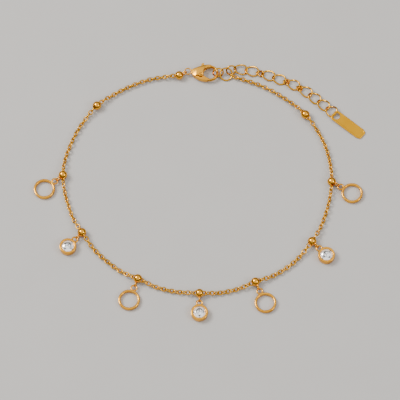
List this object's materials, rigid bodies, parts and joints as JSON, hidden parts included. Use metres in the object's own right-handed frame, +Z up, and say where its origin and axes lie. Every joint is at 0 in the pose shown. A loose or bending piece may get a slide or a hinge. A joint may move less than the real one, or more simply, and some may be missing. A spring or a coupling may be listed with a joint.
{
  "type": "anklet",
  "caption": "Gold cable chain anklet with beads, open ring charms, clear stones in round bezels, a lobster clasp and a tagged extender, lying closed.",
  "frame": {"origin": "centre of the bottom of the whole piece's bounding box, on the surface it lies on", "axes": "+Z up from the surface; +Y towards the clasp; +X towards the tag at the extender's end"},
  "size_m": [0.0932, 0.0794, 0.003],
  "materials": {
    "gold": "polished yellow gold plating",
    "bright_gold": "smooth yellow gold plating, slightly brighter",
    "clear_stone": "clear faceted stone"
  },
  "bodies": {
    "anklet": {"cable_chain": "gold", "end_bead": "gold", "station_bead_1": "gold", "station_bead_2": "gold", "charm_bead_1": "gold", "charm_bead_2": "gold", "charm_bead_3": "gold", "charm_bead_4": "gold", "charm_bead_5": "gold", "charm_bead_6": "gold", "charm_bead_7": "gold", "ring_charm_1": "gold", "ring_charm_2": "gold", "ring_charm_3": "gold", "ring_charm_4": "gold", "bezel_1": "gold", "bezel_2": "gold", "bezel_3": "gold", "clasp_pin": "gold", "jump_ring_clasp": "gold", "jump_ring_join": "gold", "extender_link_1": "gold", "extender_link_2": "gold", "extender_link_3": "gold", "extender_link_4": "gold", "extender_link_5": "gold", "extender_link_6": "gold", "extender_link_7": "gold", "extender_link_8": "gold", "extender_link_9": "gold", "extender_link_10": "gold", "extender_link_11": "gold", "extender_link_12": "gold", "extender_link_13": "gold", "clasp_body": "bright_gold", "end_tag": "bright_gold", "stone_1": "clear_stone", "stone_2": "clear_stone", "stone_3": "clear_stone"},
    "lever": {"clasp_lever": "bright_gold"}
  },
  "joints": [
    {"name": "clasp_lever_swing", "type": "hinge", "parent": "anklet", "child": "lever", "pos_m": [0.00005, 0.03581, 0.0011], "axis": [0, 0, 1], "range_deg": [0, 20], "stiffness_Nm_per_rad": 0.0001, "springref_deg": -11.46}
  ]
}
